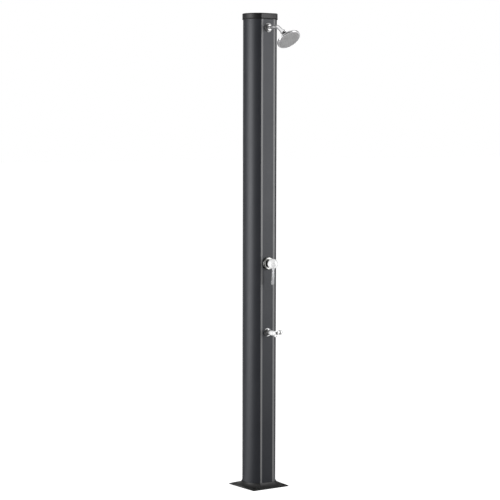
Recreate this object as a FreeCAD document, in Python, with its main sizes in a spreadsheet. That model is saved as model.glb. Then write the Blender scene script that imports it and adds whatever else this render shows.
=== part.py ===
import FreeCAD, Part
import math
import os
import re
import Sketcher
from FreeCAD import Placement, Rotation, Vector

# Outdoor solar shower post, in millimetres. +Z is up, the front cover faces -Y, and the
# origin is the middle of the base's underside, on the column's axis. The rear chamber of
# the column is the water tank that the sun warms; the front duct holds the pipes.
# "Reach" is a distance in front of the cover's face, "drop" an angle below the horizontal.

SIZES = {
    # whole post and column extrusion
    "overall_height": 2170,
    "column_radius": 77,
    "front_flat": 66,  # axis to the cover's face
    "shell_wall": 2.5,
    "web_setback": 20,  # axis to the tank side of the web
    "web_wall": 3,
    "front_slot": 44,  # width of the duct's open front
    "recess_width": 77.4,  # rebate that takes the cover and the two trims
    "cover_thickness": 3,
    "trim_width": 9.6,
    "seam": 0.2,  # joint between cover and trims
    "tongue_height": 2,  # rib on the cover's back that centres it in the slot
    # clearances
    "fit": 0.1,  # pieces that are fixed to each other
    "running_fit": 0.05,  # shafts and balls that turn
    "loose_fit": 0.3,  # clearance holes
    # base
    "base_side": 197,
    "base_edge": 4,
    "base_floor": 5,
    "collar_height": 24,
    "collar_lip": 2.5,
    "flare_reach": 55,
    "flare_drop": 20,
    "anchor_spacing": 160,
    "anchor_hole": 9,
    "anchor_seat": 19,
    # screws that hold the column on its base
    "screw_length": 18,
    "screw_radius": 2.5,
    "screw_head_radius": 4.8,
    "screw_head_height": 2.4,
    "screw_sink": 0.4,
    "base_screw_side": 54,
    "base_screw_rear_x": 32,
    "base_screw_rear_y": 43,
    # cap
    "cap_height": 27,
    "cap_top": 4,
    "cap_wall": 3.2,
    "cap_edge_round": 3,
    "cap_lip_height": 4,
    "cap_lip_step": 0.5,
    "cap_groove": 1.2,
    "cap_screw_radius": 2,
    "cap_screw_head": 3.8,
    "cap_screw_length": 16,
    "cap_screw_angle": 50,
    "cap_screw_drop": 13,
    # tank plugs
    "plug_thickness": 22,
    "plug_drop": 4,
    "seal_height": 4,
    "seal_depth": 3,
    # pipes
    "pipe_radius": 6,
    "pipe_wall": 1,
    "pipe_setback": 40,  # axis to the pipes
    "port_radius": 9,
    "port_reach": 26,
    "seat_depth": 10,
    "channel_radius": 4,
    "hot_pipe_x": 44,
    "hot_bend": 16,
    "clip_height": 12,
    "clip_margin": 4,
    # water inlet, drain and hot outlet
    "inlet_height": 120,
    "inlet_thread_radius": 13.2,
    "inlet_thread_length": 14,
    "inlet_hex": 17,
    "inlet_hex_height": 6,
    "inlet_shank": 10,
    "inlet_depth": 16,
    "cross_pipe_radius": 8,
    "cross_pipe_bore": 6,
    "gasket_thickness": 1.5,
    "nut_height": 5,
    "nut_margin": 5,
    "drain_height": 52,
    "drain_radius": 6,
    "drain_head": 10,
    "drain_head_height": 5,
    "drain_depth": 9,
    "hot_outlet_below_top": 74,
    "hot_block_radius": 9.5,
    "block_wall": 4,
    # plates behind the front slot
    "plate_thickness": 3,
    "plate_width": 60,
    "plate_height": 48,
    # shower arm
    "arm_below_top": 64.5,
    "arm_radius": 8.25,
    "arm_bore": 6,
    "arm_run": 70,
    "arm_end": 75.8,
    "arm_drop": 31.7,
    "arm_bend": 20,
    "arm_socket": 17.5,
    "elbow_radius": 14,
    "arm_rosette_radius": 21.5,
    "arm_rosette_height": 9,
    # ball joint
    "ball_radius": 10,
    "ball_bore": 3,
    "neck_radius": 5.5,
    "neck_length": 17,
    "sleeve_radius": 12,
    "sleeve_length": 15,
    "sleeve_seat": 10,
    "sleeve_lip": 2,
    "sleeve_chamfer": 1.5,
    "seat_front": 5,
    "seat_back": 6,
    "seat_thickness": 1.9,
    "swivel_limit": 28,
    "collar_margin": 3,
    "hub_wall": 1.2,
    "collar_wall": 2,
    "collar_length": 8,
    "collar_back": 7,
    # shower head
    "head_drop": 49,
    "head_turn": 6,  # degrees that the head looks to the post's right
    "head_radius": 55,
    "head_depth": 30,
    "rim_height": 9.5,
    "rim_width": 4.8,
    "rim_round": 2.3,
    "dome_drop": 4,
    "dome_curve": 95,
    "head_wall": 2.6,
    "face_thickness": 3.5,
    "face_sink": 0.5,
    "mat_thickness": 1.2,
    "seal_width": 2.4,
    "nozzle_radius": 1.3,
    "nozzle_rise": 0.9,
    "nozzle_ring_1": 9,
    "nozzle_ring_2": 18,
    "nozzle_ring_3": 27,
    "nozzle_ring_4": 36,
    "nozzle_ring_5": 44.5,
    # mixer
    "mixer_height": 1036,
    "mixer_radius": 18,
    "mixer_depth": 38,
    "neck_reach": 10,
    "mixer_neck": 15,
    "cartridge_radius": 12,
    "cartridge_depth": 31,
    "cartridge_reach": 5,
    "rotor_stem": 5,
    "rotor_depth": 20,
    "ring_bore": 7,
    "ring_flange": 14.6,
    "ring_height": 4,
    "cup_radius": 28.3,
    "cup_height": 10.5,
    "cup_wall": 9,
    "cup_floor": 3,
    "cup_round": 3,
    "mixer_ball_radius": 23.5,
    "mixer_ball_reach": 40,
    "mixer_ball_wall": 4,
    "mouth_side": 7.8,  # opening behind the ball that the rotor's neck swings in
    "mouth_down": 7.8,
    "mouth_up": 18.5,
    "mouth_depth": 8,
    "fork_radius": 7,
    "fork_start": 16,
    "fork_root": 26,
    "fork_over": 5,
    "tongue_width": 6,
    "tongue_depth": 9,
    "slot_play": 0.1,
    "pivot_radius": 2,
    "pin_inset": 0.4,
    # mixer lever
    "lever_length": 95.5,
    "lever_root_width": 11,
    "lever_root_thickness": 7,
    "lever_root_reach": 42,
    "lever_mid_width": 12,
    "lever_mid_thickness": 5.4,
    "lever_mid_reach": 42,
    "lever_tip_width": 14.5,
    "lever_tip_thickness": 4.4,
    "lever_tip_reach": 37.5,
    "lever_round": 1.6,
    "lever_stud": 3.2,
    # lower tap
    "tap_height": 719.5,
    "tap_block_radius": 13,
    "tap_thread": 8,
    "tap_thread_depth": 16,
    "barrel_radius": 11.3,
    "barrel_reach": 60,
    "barrel_bore": 5,
    "barrel_nose": 12,
    "tap_rosette_radius": 20,
    "tap_rosette_height": 8,
    "spout_reach": 67,
    "spout_radius": 6.6,
    "spout_fall": 14.5,
    "nozzle_insert": 5,
    "nozzle_insert_depth": 7,
    "insert_bore": 2.5,
    "insert_rise": 0.6,
    "knob_rise": 13,  # degrees above the horizontal
    "bonnet_socket": 8.6,
    "bonnet_plug": 6,
    "bonnet_start": 5,
    "bonnet_seat": 14,
    "bonnet_radius": 7,
    "bonnet_end": 20,
    "spindle_radius": 3,
    "spindle_foot": 4.4,
    "foot_length": 2,
    "spindle_end": 39,
    "knob_radius": 11,
    "knob_centre": 38,
    "knob_neck": 6.5,
    "knob_gap": 0.4,
    "rosette_edge": 1.5,
    "rosette_curve": 18,
    "rosette_land": 2,  # flat ring at a rosette's top
}

doc = FreeCAD.newDocument("ShowerPost")
sheet = doc.addObject("Spreadsheet::Sheet", "Sizes")
for row, (alias, size) in enumerate(SIZES.items(), 1):
    sheet.set(f"A{row}", alias.replace("_", " "))
    sheet.set(f"B{row}", str(size))
    sheet.setAlias(f"B{row}", alias)
doc.recompute()

gauge = doc.addObject("App::FeaturePython", "Gauge")
gauge.addProperty("App::PropertyFloat", "Reading")


# Sizes that follow from others, as formulas of the sheet's aliases
PANEL_HALF = "(recess_width / 2 - trim_width - 2 * seam)"
COLUMN_LENGTH = "(overall_height - cap_top - base_floor)"
CHAMBER = "(column_radius - shell_wall)"
SLOT_INNER = "(front_flat - cover_thickness - shell_wall)"
PORT_STOP = "(port_reach - seat_depth)"
PIPE_SINK = "(front_flat - pipe_setback)"
PLATE_BACK = "(cover_thickness + shell_wall + plate_thickness)"
TOP_PLUG = "(overall_height - cap_top - plug_drop - plug_thickness)"
SOCKET = "(ball_radius + seat_thickness + 2 * running_fit)"
ARM_HEIGHT = "(overall_height - arm_below_top)"
HOT_OUTLET_HEIGHT = "(overall_height - hot_outlet_below_top)"
BALL_REACH = "(arm_run + arm_end * cos(arm_drop))"
BALL_HEIGHT = f"({ARM_HEIGHT} - arm_end * sin(arm_drop))"
FACE_BACK = "(head_depth - face_thickness - face_sink)"
WEB_FACE = "(web_setback + web_wall)"
CROSS_END = "(pipe_setback - port_radius)"
STUD_REACH = "(lever_root_reach - mixer_ball_reach)"
NOZZLE_RINGS = [f"nozzle_ring_{n}" for n in range(1, 6)]


def formula(text):
    """Writes the sheet's name before each alias in a formula."""
    return re.sub(r"[a-z]\w+", lambda word: f"Sizes.{word[0]}" if word[0] in SIZES else word[0], text)


def value(text):
    """Reads a formula as a number."""
    gauge.setExpression("Reading", formula(text))
    gauge.recompute()
    return gauge.Reading


def bind(item, **formulas):
    """Binds properties of an object to formulas."""
    for name, text in formulas.items():
        item.setExpression(name, formula(text))
    return item


def place(item, x="0", y="0", z="0", axis=(1, 0, 0), turn="0"):
    """Puts an object's origin at x, y, z and turns it about an axis."""
    item.Placement = Placement(Vector(), Rotation(Vector(*axis), 10))
    for name, text in (("Base.x", x), ("Base.y", y), ("Base.z", z), ("Rotation.Angle", turn)):
        item.setExpression(f"Placement.{name}", formula(text))
    return item


def facing_front(item, height, reach="0", drop="0", x="0"):
    """Puts an object's local +Z outwards from the cover, dropped by an angle."""
    return place(item, x=x, y=f"-(front_flat + {reach})", z=height, turn=f"90 + ({drop})")


def facing_back(item, height, x="0", y="column_radius"):
    """Puts an object's local +Z towards the rear."""
    return place(item, x=x, y=y, z=height, turn="-90")


# Part primitives and booleans


def cylinder(radius, length):
    return bind(doc.addObject("Part::Cylinder", "Round"), Radius=radius, Height=length)


def front_hole(radius, depth, height):
    """A round tool through the cover's face to a depth."""
    return facing_front(cylinder(radius, f"{depth} + 1"), height, reach=f"-({depth})")


def back_hole(radius, depth, height):
    """A round tool through the column's back to a depth."""
    return facing_back(cylinder(radius, f"{depth} + 1"), height, y=f"column_radius - ({depth})")


def rod(radius, start, end):
    """A cylinder on local Z between two places."""
    return place(cylinder(radius, f"({end}) - ({start})"), z=start)


def block(length, width, height, x, y, z):
    """A box from its lowest corner."""
    item = doc.addObject("Part::Box", "Block")
    return place(bind(item, Length=length, Width=width, Height=height), x=x, y=y, z=z)


def ball(radius, z="0"):
    return place(bind(doc.addObject("Part::Sphere", "Ball"), Radius=radius), z=z)


def fused(*items):
    item = doc.addObject("Part::MultiFuse", "Joined")
    item.Shapes = list(items)
    return item


def shared(*items):
    item = doc.addObject("Part::MultiCommon", "Shared")
    item.Shapes = list(items)
    return item


def cut(base, *tools):
    item = doc.addObject("Part::Cut", "Cut")
    item.Base = base
    item.Tool = tools[0] if len(tools) == 1 else fused(*tools)
    return item


def group(*items):
    """Like pieces that share one node, each a solid of its own."""
    item = doc.addObject("Part::Compound", "Group")
    item.Links = list(items)
    return item


def tube(radius, bore, start, end):
    """A pipe on local Z."""
    return cut(rod(radius, start, end), rod(bore, f"{start} - 1", f"{end} + 1"))


def slab(radius, front, back, bottom, height):
    """The part of an upright cylinder between two planes that face front and back."""
    across = f"2 * ({radius})"
    span = block(across, f"({front}) + ({back})", height, f"-({radius})", f"-({front})", bottom)
    return shared(rod(radius, bottom, f"({bottom}) + ({height})"), span)


def pipe_port(direction, length="port_reach", radius="port_radius"):
    """A round stub from a fitting's middle, along one of its own axes."""
    axis, turn = {"up": ((1, 0, 0), "-90"), "down": ((1, 0, 0), "90"), "right": ((0, 1, 0), "90")}[direction]
    return place(cylinder(radius, length), z=f"-{PIPE_SINK}", axis=axis, turn=turn)


def port_bore(direction):
    """The seat of a pipe's end in such a stub, and the channel behind it."""
    offset = {"up": ("0", f"{PORT_STOP}"), "down": ("0", f"-{PORT_STOP}"), "right": (f"{PORT_STOP}", "0")}
    axis, turn = {"up": ((1, 0, 0), "-90"), "down": ((1, 0, 0), "90"), "right": ((0, 1, 0), "90")}[direction]
    seat = cylinder("pipe_radius + fit", "seat_depth + 1")
    place(seat, x=offset[direction][0], y=offset[direction][1], z=f"-{PIPE_SINK}", axis=axis, turn=turn)
    return seat, pipe_port(direction, "port_reach", "channel_radius")


# Bodies made from sketches


def origin_item(body, role):
    return next(item for item in body.Origin.OriginFeatures if item.Role == role)


def new_body():
    return doc.addObject("PartDesign::Body", "Body")


def new_sketch(body, role="XY_Plane", lift="0"):
    """A sketch on one of the body's own planes, moved along the plane's normal."""
    sketch = body.newObject("Sketcher::SketchObject", "Sketch")
    sketch.AttachmentSupport = [(origin_item(body, role), "")]
    sketch.MapMode = "FlatFace"
    sketch.setExpression("AttachmentOffset.Base.z", formula(lift))
    return sketch


def dimension(sketch, kind, *where, text):
    """A constraint whose size is a formula."""
    index = sketch.addConstraint(Sketcher.Constraint(kind, *where, value(text)))
    sketch.setExpression(f"Constraints[{index}]", formula(text))


def circle(sketch, radius, x="0", y="0"):
    centre = Vector(value(x), value(y), 0)
    index = sketch.addGeometry(Part.Circle(centre, Vector(0, 0, 1), value(radius)))
    dimension(sketch, "Radius", index, text=radius)
    dimension(sketch, "DistanceX", index, 3, text=x)
    dimension(sketch, "DistanceY", index, 3, text=y)


def outline(sketch, points, closed=True):
    """Lines and arcs through points. Each point is (x, y), or (x, y, turn, radius) where
    an arc that turns left or right arrives at it."""
    corners = [Vector(value(point[0]), value(point[1]), 0) for point in points]
    count = len(points) if closed else len(points) - 1
    ends = []
    for n in range(count):
        start, end, target = corners[n], corners[(n + 1) % len(points)], points[(n + 1) % len(points)]
        if len(target) == 2:
            index = sketch.addGeometry(Part.LineSegment(start, end))
            ends.append((index, 1, 2))
            continue
        radius = value(target[3])
        chord = end - start
        side = 1 if target[2] == "left" else -1
        normal = Vector(-chord.y, chord.x, 0).normalize() * side
        centre = (start + end) / 2 + normal * math.sqrt(max(radius**2 - (chord.Length / 2) ** 2, 0))
        first, last = (start, end) if side == 1 else (end, start)
        angles = [math.atan2(p.y - centre.y, p.x - centre.x) for p in (first, last)]
        if angles[1] < angles[0]:
            angles[1] += 2 * math.pi
        arc = Part.ArcOfCircle(Part.Circle(centre, Vector(0, 0, 1), radius), *angles)
        index = sketch.addGeometry(arc)
        ends.append((index, 1, 2) if side == 1 else (index, 2, 1))
        dimension(sketch, "Radius", index, text=target[3])
    for n, (index, first, last) in enumerate(ends):
        dimension(sketch, "DistanceX", index, first, text=points[n][0])
        dimension(sketch, "DistanceY", index, first, text=points[n][1])
        if n + 1 < len(ends) or closed:
            after, after_first, _ = ends[(n + 1) % len(ends)]
            sketch.addConstraint(Sketcher.Constraint("Coincident", index, last, after, after_first))
        else:
            dimension(sketch, "DistanceX", index, last, text=points[-1][0])
            dimension(sketch, "DistanceY", index, last, text=points[-1][1])


def rectangle(sketch, length, width, x="0", y="0"):
    """A rectangle about its middle."""
    left, right = f"({x}) - ({length}) / 2", f"({x}) + ({length}) / 2"
    low, high = f"({y}) - ({width}) / 2", f"({y}) + ({width}) / 2"
    outline(sketch, [(left, low), (right, low), (right, high), (left, high)])


def d_outline(sketch, radius, flat):
    """The column's own section: a circle cut by a flat at the front."""
    size, cut_at = value(radius), value(flat)
    half = math.sqrt(size**2 - cut_at**2)
    start = math.atan2(-cut_at, half)
    round_side = Part.ArcOfCircle(Part.Circle(Vector(), Vector(0, 0, 1), size), start, math.pi - start)
    arc = sketch.addGeometry(round_side)
    chord = sketch.addGeometry(Part.LineSegment(Vector(-half, -cut_at, 0), Vector(half, -cut_at, 0)))
    sketch.addConstraint(Sketcher.Constraint("Coincident", arc, 3, -1, 1))
    sketch.addConstraint(Sketcher.Constraint("Coincident", arc, 2, chord, 1))
    sketch.addConstraint(Sketcher.Constraint("Coincident", chord, 2, arc, 1))
    sketch.addConstraint(Sketcher.Constraint("Horizontal", chord))
    dimension(sketch, "Radius", arc, text=radius)
    dimension(sketch, "DistanceY", chord, 1, text=f"-({flat})")


def feature(body, kind, sketch, length=None, **settings):
    item = body.newObject(f"PartDesign::{kind}", kind)
    item.Profile = sketch
    for name, setting in settings.items():
        setattr(item, name, setting)
    if length is not None:
        bind(item, Length=length)
    return item


def loft(body, sections):
    item = body.newObject("PartDesign::AdditiveLoft", "Loft")
    item.Profile = sections[0]
    item.Sections = sections[1:]
    return item


def turned(points):
    """A body spun about local Z from (radius, place) points."""
    body = new_body()
    sketch = new_sketch(body, "XZ_Plane")
    outline(sketch, points)
    feature(body, "Revolution", sketch, ReferenceAxis=(origin_item(body, "Z_Axis"), [""]), Angle=360)
    return body


def rounded(body, radius, chosen):
    """Rounds the edges of a body that a test picks."""
    doc.recompute()
    solid = body.Tip.Shape
    names = [f"Edge{n}" for n, edge in enumerate(solid.Edges, 1) if chosen(edge)]
    item = body.newObject("PartDesign::Fillet", "Fillet")
    item.Base = (body.Group[-2], names)
    bind(item, Radius=radius)
    return item


def bent_pipe(plane, points, profile_plane, profile_lift, radius, bore, x="0", y="0"):
    """A tube swept along lines and arcs."""
    body = new_body()
    section = new_sketch(body, profile_plane, profile_lift)
    circle(section, radius, x, y)
    circle(section, bore, x, y)
    path = new_sketch(body, plane)
    outline(path, points, closed=False)
    sweep = body.newObject("PartDesign::AdditivePipe", "Pipe")
    sweep.Profile = section
    sweep.Spine = (path, [f"Edge{n + 1}" for n in range(len(points) - 1)])
    return body


# Base and column

BASE_SCREWS = [
    ("base_screw_side", "0"),
    ("-base_screw_side", "0"),
    ("base_screw_rear_x", "base_screw_rear_y"),
    ("-base_screw_rear_x", "base_screw_rear_y"),
]


def base_flange():
    """Square moulded foot that sweeps up to a collar round the column."""
    body = new_body()
    foot = new_sketch(body)
    rectangle(foot, "base_side", "base_side")
    feature(body, "Pad", foot, "base_edge")
    sections = []
    for angle in (90, 60, 30, 0):
        section = new_sketch(body, lift=f"collar_height - flare_drop * sin({angle})")
        spread = f"collar_lip + flare_reach * (1 - cos({angle}))"
        d_outline(section, f"column_radius + {spread}", f"front_flat + {spread}")
        sections.append(section)
    loft(body, sections)
    outside = new_sketch(body)
    rectangle(outside, "2 * base_side", "2 * base_side")
    rectangle(outside, "base_side", "base_side")
    feature(body, "Pocket", outside, "collar_height", Reversed=True)
    socket = new_sketch(body, lift="base_floor")
    d_outline(socket, "column_radius + fit", "front_flat + fit")
    feature(body, "Pocket", socket, "collar_height", Reversed=True)
    anchors = new_sketch(body)
    seats = new_sketch(body, lift="base_edge")
    for x, y in ((1, 1), (-1, 1), (-1, -1), (1, -1)):
        circle(anchors, "anchor_hole / 2", f"{x} * anchor_spacing / 2", f"{y} * anchor_spacing / 2")
        circle(seats, "anchor_seat / 2", f"{x} * anchor_spacing / 2", f"{y} * anchor_spacing / 2")
    feature(body, "Pocket", anchors, "collar_height", Reversed=True)
    feature(body, "Pocket", seats, "collar_height", Reversed=True)
    holes = new_sketch(body)
    heads = new_sketch(body)
    for x, y in BASE_SCREWS:
        circle(holes, "screw_radius + fit", x, y)
        circle(heads, "screw_head_radius + 2 * fit", x, y)
    feature(body, "Pocket", holes, "collar_height", Reversed=True)
    feature(body, "Pocket", heads, "screw_sink + screw_head_height", Reversed=True)
    return body


def base_screws():
    """Four cheese-head screws, from below through the foot into the bottom plug."""
    screws = []
    for x, y in BASE_SCREWS:
        head = rod("screw_head_radius", "screw_sink", "screw_sink + screw_head_height")
        shank = rod("screw_radius", "screw_sink + screw_head_height / 2", "screw_sink + screw_length")
        screws.append(place(fused(head, shank), x=x, y=y))
    return group(*screws)


def column_shell():
    """Extruded column: a round tank chamber behind a web, and a pipe duct with an open front."""
    outer = slab("column_radius", "front_flat", "column_radius", "base_floor", COLUMN_LENGTH)
    chamber = slab(CHAMBER, "web_setback", CHAMBER, "0", "overall_height")
    duct = slab(CHAMBER, SLOT_INNER, "-(web_setback + web_wall)", "0", "overall_height")
    slot = block("front_slot", "2 * shell_wall", "overall_height",
                 "-front_slot / 2", f"-{SLOT_INNER} - 1.5 * shell_wall", "0")
    recess = block("recess_width", "2 * cover_thickness", "overall_height",
                   "-recess_width / 2", "-front_flat - cover_thickness", "0")
    inlet = back_hole("inlet_shank + loose_fit", "inlet_depth", "inlet_height")
    drain = back_hole("drain_radius + loose_fit", "drain_depth", "drain_height")
    cross = place(cylinder("cross_pipe_radius + loose_fit", "3 * web_wall"),
                  y="-web_setback + web_wall", z="inlet_height", turn="90")
    hot = place(cylinder("pipe_radius + loose_fit", "3 * web_wall"),
                x="hot_pipe_x", y="-web_setback + web_wall", z=HOT_OUTLET_HEIGHT, turn="90")
    screws = [cap_screw_hole(side, "cap_screw_radius + fit", "3 * shell_wall", "cap_wall")
              for side in (1, -1)]
    return cut(outer, chamber, duct, slot, recess, inlet, drain, cross, hot, *screws)


def front_cover():
    """Flat cover of the duct, with a rib that centres it and holes for arm, mixer and tap."""
    plate = block(f"2 * {PANEL_HALF}", "cover_thickness", COLUMN_LENGTH,
                  f"-{PANEL_HALF}", "-front_flat", "base_floor")
    rib = block("front_slot - 2 * seam", "cover_thickness / 2 + tongue_height", COLUMN_LENGTH,
                "-front_slot / 2 + seam", "-front_flat + cover_thickness / 2", "base_floor")
    holes = [front_hole(f"{radius} + loose_fit", PLATE_BACK, height)
             for radius, height in (("arm_radius", ARM_HEIGHT), ("mixer_neck", "mixer_height"),
                                    ("tap_thread", "tap_height"))]
    return cut(fused(plate, rib), *holes)


def trim_strip_left():
    """Satin strip in the rebate on the cover's left."""
    return block("trim_width", "cover_thickness", COLUMN_LENGTH,
                 "-recess_width / 2 + seam", "-front_flat", "base_floor")


def trim_strip_right():
    return block("trim_width", "cover_thickness", COLUMN_LENGTH,
                 "recess_width / 2 - seam - trim_width", "-front_flat", "base_floor")


# Cap and tank plugs


def top_cap():
    """Moulded lid over the column's end, with a rounded rim, a groove and a small lip."""
    body = new_body()
    under = "overall_height - cap_height"
    groove_foot = f"{under} + cap_lip_height"
    for lift, step, length in ((under, "cap_lip_step", "cap_lip_height"),
                               (groove_foot, "-cap_lip_step", "cap_groove"),
                               (f"{groove_foot} + cap_groove", "0",
                                "cap_height - cap_lip_height - cap_groove")):
        band = new_sketch(body, lift=lift)
        d_outline(band, f"column_radius + cap_wall + ({step})", f"front_flat + cap_wall + ({step})")
        feature(body, "Pad", band, length)
    top = value("overall_height")
    rounded(body, "cap_edge_round", lambda edge: edge.BoundBox.ZMin > top - 0.01)
    inside = new_sketch(body, lift=under)
    d_outline(inside, "column_radius + fit", "front_flat + fit")
    feature(body, "Pocket", inside, "cap_height - cap_top", Reversed=True)
    return cut(body, *[cap_screw_hole(side, "cap_screw_radius + fit", "cap_wall", "3 * cap_wall")
                       for side in (1, -1)])


def on_cap_screw_axis(item, side, distance):
    """Turns an object's +Z radially outwards at a cap screw, a distance from the post's axis."""
    angle = math.radians(value("cap_screw_angle"))
    outward = Vector(side * math.cos(angle), math.sin(angle), 0)
    item.Placement = Placement(Vector(), Rotation(Vector(0, 0, 1), outward))
    item.setExpression("Placement.Base.x", formula(f"{side} * ({distance}) * cos(cap_screw_angle)"))
    item.setExpression("Placement.Base.y", formula(f"({distance}) * sin(cap_screw_angle)"))
    item.setExpression("Placement.Base.z", formula("overall_height - cap_screw_drop"))
    return item


def cap_screw_hole(side, radius, inward, outward):
    """A radial hole at a cap screw, from the column's surface in and out."""
    return on_cap_screw_axis(cylinder(radius, f"{inward} + {outward}"), side, f"column_radius - ({inward})")


def cap_screws():
    """Two pan-head screws at the back, through cap and column into the top plug."""
    seat = "column_radius + cap_wall"
    screws = []
    for side in (1, -1):
        shank = on_cap_screw_axis(cylinder("cap_screw_radius", "cap_screw_length + cap_screw_head / 4"),
                                  side, f"{seat} - cap_screw_length")
        head = on_cap_screw_axis(cylinder("cap_screw_head", "cap_screw_head / 2"), side, seat)
        screws.append(fused(shank, head))
    return group(*screws)


def tank_plug(bottom):
    """Plug that closes one end of the tank, with a groove for its seal."""
    body = new_body()
    whole = new_sketch(body, lift=bottom)
    d_outline(whole, f"{CHAMBER} - fit", "web_setback - fit")
    feature(body, "Pad", whole, "plug_thickness")
    groove = new_sketch(body, lift=f"{bottom} + (plug_thickness - seal_height) / 2")
    d_outline(groove, f"{CHAMBER} + seal_depth", "web_setback + seal_depth")
    d_outline(groove, f"{CHAMBER} - seal_depth", "web_setback - seal_depth")
    feature(body, "Pocket", groove, "seal_height", Reversed=True)
    return body


def tank_plug_top():
    depth = "cap_screw_length - cap_wall + 1"
    return cut(tank_plug(TOP_PLUG), *[cap_screw_hole(side, "cap_screw_radius + fit", depth, "0")
                                      for side in (1, -1)])


def tank_plug_bottom():
    """The bottom plug also takes the screws of the foot."""
    holes = [place(rod("screw_radius + fit", "0", "screw_sink + screw_length + 1"), x=x, y=y)
             for x, y in BASE_SCREWS]
    return cut(tank_plug("base_floor"), fused(*holes))


def tank_seals():
    """Rubber rings in the grooves of both plugs."""
    rings = []
    for bottom in ("base_floor", TOP_PLUG):
        body = new_body()
        ring = new_sketch(body, lift=f"{bottom} + (plug_thickness - seal_height) / 2 + fit")
        d_outline(ring, f"{CHAMBER} - fit", "web_setback - fit")
        d_outline(ring, f"{CHAMBER} - seal_depth + fit", "web_setback - seal_depth + fit")
        feature(body, "Pad", ring, "seal_height - 2 * fit")
        rings.append(body)
    return group(*rings)


# Water inlet and drain, at the lower back


def saddle(radius, bore, height):
    """A gasket between the column's round back and a flat fitting."""
    sag = f"column_radius - sqrt(column_radius ^ 2 - ({radius}) ^ 2) + 1"
    ring = facing_back(tube(radius, bore, f"-({sag})", "gasket_thickness"), height)
    return cut(ring, rod("column_radius", "0", "overall_height"))


def inlet_connector():
    """Brass hose connector with a male thread, screwed through the tank's back."""
    flange_top = "gasket_thickness + inlet_hex_height"
    body = turned([
        ("cross_pipe_bore", "0"),
        ("cross_pipe_radius + fit", "0"),
        ("cross_pipe_radius + fit", "-inlet_depth"),
        ("inlet_shank", "-inlet_depth"),
        ("inlet_shank", "gasket_thickness"),
        ("inlet_hex", "gasket_thickness"),
        ("inlet_hex", flange_top),
        ("inlet_thread_radius", flange_top),
        ("inlet_thread_radius", f"{flange_top} + inlet_thread_length"),
        ("cross_pipe_bore", f"{flange_top} + inlet_thread_length"),
    ])
    return facing_back(body, "inlet_height")


def inlet_gasket():
    return saddle("inlet_hex", "inlet_shank + fit", "inlet_height")


def inlet_nut():
    """Back nut of the connector, against the tank's round inner wall."""
    outer = "inlet_shank + nut_margin"
    seat = f"(column_radius - sqrt({CHAMBER} ^ 2 - ({outer}) ^ 2))"
    return facing_back(tube(outer, "inlet_shank + fit", f"-{seat} - nut_height", f"-{seat}"), "inlet_height")


def cross_pipe():
    """Feed pipe through the foot of the tank, with a hole that fills the tank."""
    pipe = tube("cross_pipe_radius", "cross_pipe_bore", f"-(column_radius + {CROSS_END})", "0")
    hole = place(rod("channel_radius / 2", "0", "2 * cross_pipe_radius"), z="-column_radius / 2", turn="90")
    return facing_back(cut(pipe, hole), "inlet_height")


def cold_elbow():
    """Elbow in the duct that turns the feed upwards."""
    far = "pipe_setback + port_radius + 1"
    middle = place(cylinder("cross_pipe_radius + block_wall", f"{far} - {WEB_FACE}"),
                   y=f"-{WEB_FACE}", turn="90")
    stub = place(cylinder("port_radius", "port_reach"), y="-pipe_setback")
    socket = place(cylinder("cross_pipe_radius + fit", f"{CROSS_END} - {WEB_FACE} + 1"),
                   y=f"-{CROSS_END}", turn="-90")
    link = place(cylinder("channel_radius", "pipe_setback"), y="-pipe_setback", turn="-90")
    seat = place(cylinder("pipe_radius + fit", "seat_depth + 1"), y="-pipe_setback", z=PORT_STOP)
    channel = place(cylinder("channel_radius", "port_reach"), y="-pipe_setback")
    return place(cut(fused(middle, stub), socket, link, seat, channel), z="inlet_height")


def drain_plug():
    """Hexagon-headed plug that empties the tank before frost."""
    shank = rod("drain_radius", "-drain_depth", "gasket_thickness + drain_head_height / 2")
    prism = doc.addObject("Part::Prism", "Hexagon")
    prism.Polygon = 6
    bind(prism, Circumradius="drain_head", Height="drain_head_height")
    place(prism, z="gasket_thickness", axis=(0, 0, 1))
    return facing_back(fused(shank, prism), "drain_height")


def drain_gasket():
    return saddle("drain_head", "drain_radius + fit", "drain_height")


# Pipes in the duct


def upright_pipe(bottom, top):
    return place_tube(tube("pipe_radius", "pipe_radius - pipe_wall", bottom, top))


def place_tube(item):
    return place(item, y="-pipe_setback")


def cold_pipe_lower():
    return upright_pipe(f"inlet_height + {PORT_STOP}", f"tap_height - {PORT_STOP}")


def cold_pipe_upper():
    return upright_pipe(f"tap_height + {PORT_STOP}", f"mixer_height - {PORT_STOP}")


def mixed_pipe():
    return upright_pipe(f"mixer_height + {PORT_STOP}", f"{ARM_HEIGHT} - {PORT_STOP}")


def hot_outlet():
    """Elbow that takes the warmest water from the tank's top, through the web."""
    far = "pipe_setback + hot_block_radius"
    middle = place(cylinder("hot_block_radius", f"{far} - {WEB_FACE}"), y=f"-{WEB_FACE}", turn="90")
    nipple = place(cylinder("pipe_radius", "2 * web_wall + nut_height + 2"),
                   y=f"-{WEB_FACE} - web_wall", turn="-90")
    stub = place(cylinder("port_radius", "port_reach"), y="-pipe_setback", turn="180")
    seat = place(cylinder("pipe_radius + fit", "seat_depth + 1"),
                 y="-pipe_setback", z=f"-{PORT_STOP}", turn="180")
    down = place(cylinder("channel_radius", "port_reach"), y="-pipe_setback", turn="180")
    through = place(cylinder("channel_radius", "pipe_setback"), y="-pipe_setback", turn="-90")
    item = cut(fused(middle, nipple, stub), seat, down, through)
    return place(item, x="hot_pipe_x", z=HOT_OUTLET_HEIGHT)


def hot_nut():
    """Back nut of the hot outlet, in the tank."""
    ring = tube("pipe_radius + nut_margin", "pipe_radius + fit", "0", "nut_height")
    return place(ring, x="hot_pipe_x", y="-web_setback", z=HOT_OUTLET_HEIGHT, turn="-90")


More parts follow.
